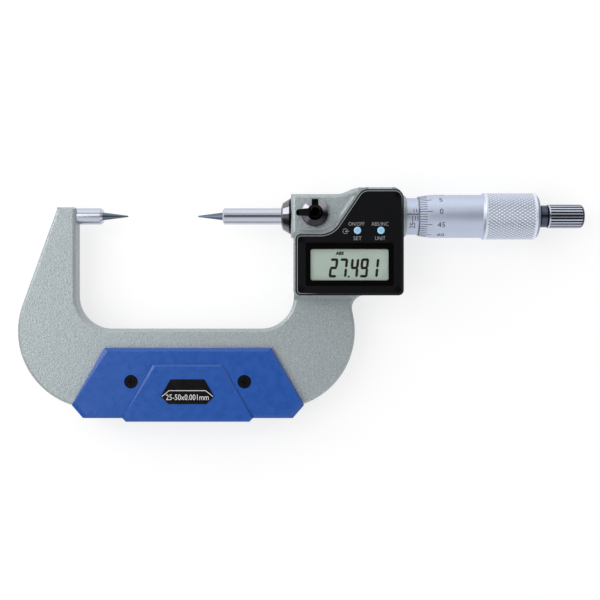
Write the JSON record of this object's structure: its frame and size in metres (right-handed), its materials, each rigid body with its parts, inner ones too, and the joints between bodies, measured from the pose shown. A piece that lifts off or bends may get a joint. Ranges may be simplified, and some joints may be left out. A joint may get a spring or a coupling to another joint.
{
  "type": "digital point micrometer",
  "caption": "Digital point micrometer: bow frame with conical anvil and spindle points, display housing, clamp lever, graduated sleeve and thimble, and ratchet knob",
  "frame": {"origin": "middle of the base of the bounding box; the tool lies on its back with the display up", "axes": "+X along the measuring axis from the anvil towards the ratchet, +Y from the bow towards the measuring axis, +Z out of the display"},
  "size_m": [0.2225, 0.091, 0.0228],
  "materials": {
    "frame_paint": "silver grey hammered enamel on a steel casting",
    "steel": "ground steel",
    "carbide": "fine ground tungsten carbide, blue grey",
    "dark_chrome": "dark chrome plate",
    "black_chrome": "glossy black chrome plate",
    "satin_chrome": "satin chrome plate on steel",
    "cover_plastic": "fine textured black moulding",
    "window": "clear pane with a black printed border",
    "lcd": "grey green reflective liquid crystal glass",
    "button_plastic": "light blue moulding",
    "rubber": "black elastomer or moulding compound",
    "brass": "plain brass",
    "circuit": "green glass-epoxy laminate",
    "black_screw": "black oxide",
    "blue_plastic": "semi-gloss blue moulding",
    "badge_film": "black enamelled plate"
  },
  "bodies": {
    "body": {"frame": "frame_paint", "anvil": "steel", "anvil_point": "carbide", "nose_collar": "dark_chrome", "spindle_seal": "rubber", "clamp_pad": "brass", "sleeve": "satin_chrome", "inner_sleeve": "steel", "adjusting_nut": "steel", "encoder_stator": "circuit", "circuit_board": "circuit", "processor_chip": "rubber", "zebra_strips": "rubber", "lcd_panel": "lcd", "lcd_window": "window", "display_cover": "cover_plastic", "cover_gasket": "rubber", "cover_screws": "black_screw", "dome_left": "steel", "dome_right": "steel", "battery": "steel", "battery_contacts": "brass", "battery_lid": "cover_plastic", "battery_lid_seal": "rubber", "battery_lid_screws": "steel", "plate_front": "blue_plastic", "plate_back": "blue_plastic", "plate_screws_front": "black_screw", "plate_screws_back": "black_screw", "badge": "badge_film"},
    "rotor": {"encoder_rotor": "brass", "drive_key": "steel"},
    "spindle_unit": {"spindle": "steel", "spindle_point": "carbide", "thimble": "satin_chrome", "ratchet_body": "dark_chrome", "ratchet_spring": "steel", "ratchet_stop_screw": "steel"},
    "toothed_plate": {"ratchet_plate": "steel"},
    "knob": {"ratchet_knob": "dark_chrome", "ratchet_end_cap": "dark_chrome"},
    "clamp": {"clamp_lever": "black_chrome", "clamp_screw": "steel"},
    "left_button": {"button_left": "button_plastic"},
    "right_button": {"button_right": "button_plastic"}
  },
  "joints": [
    {"name": "spindle_turn", "type": "hinge", "parent": "body", "child": "rotor", "pos_m": [0.03161, 0.0349, 0.00925], "axis": [1, 0, 0], "range_deg": [-1794, 16207]},
    {"name": "spindle_feed", "type": "slide", "parent": "rotor", "child": "spindle_unit", "axis": [1, 0, 0], "range_m": [-0.00249, 0.02251]},
    {"name": "ratchet_turn", "type": "hinge", "parent": "spindle_unit", "child": "knob", "pos_m": [0.10661, 0.0349, 0.00925], "axis": [1, 0, 0], "continuous": true},
    {"name": "toothed_plate_lift", "type": "slide", "parent": "spindle_unit", "child": "toothed_plate", "axis": [-1, 0, 0], "range_m": [0, 0.0004], "stiffness_N_per_m": 1500, "springref_m": -0.002, "deforming": ["ratchet_spring"]},
    {"name": "clamp_turn", "type": "hinge", "parent": "body", "child": "clamp", "pos_m": [0.00526, 0.0357, 0.01755], "axis": [0, 0, 1], "range_deg": [-75, 0]},
    {"name": "left_button_press", "type": "slide", "parent": "body", "child": "left_button", "axis": [0, 0, -1], "range_m": [0, 0.0005], "stiffness_N_per_m": 2000, "deforming": ["dome_left"]},
    {"name": "right_button_press", "type": "slide", "parent": "body", "child": "right_button", "axis": [0, 0, -1], "range_m": [0, 0.0005], "stiffness_N_per_m": 2000, "deforming": ["dome_right"]}
  ],
  "couplings": [
    {"joint": "spindle_turn", "follows": "spindle_feed", "rad_per_m": 12566}
  ]
}
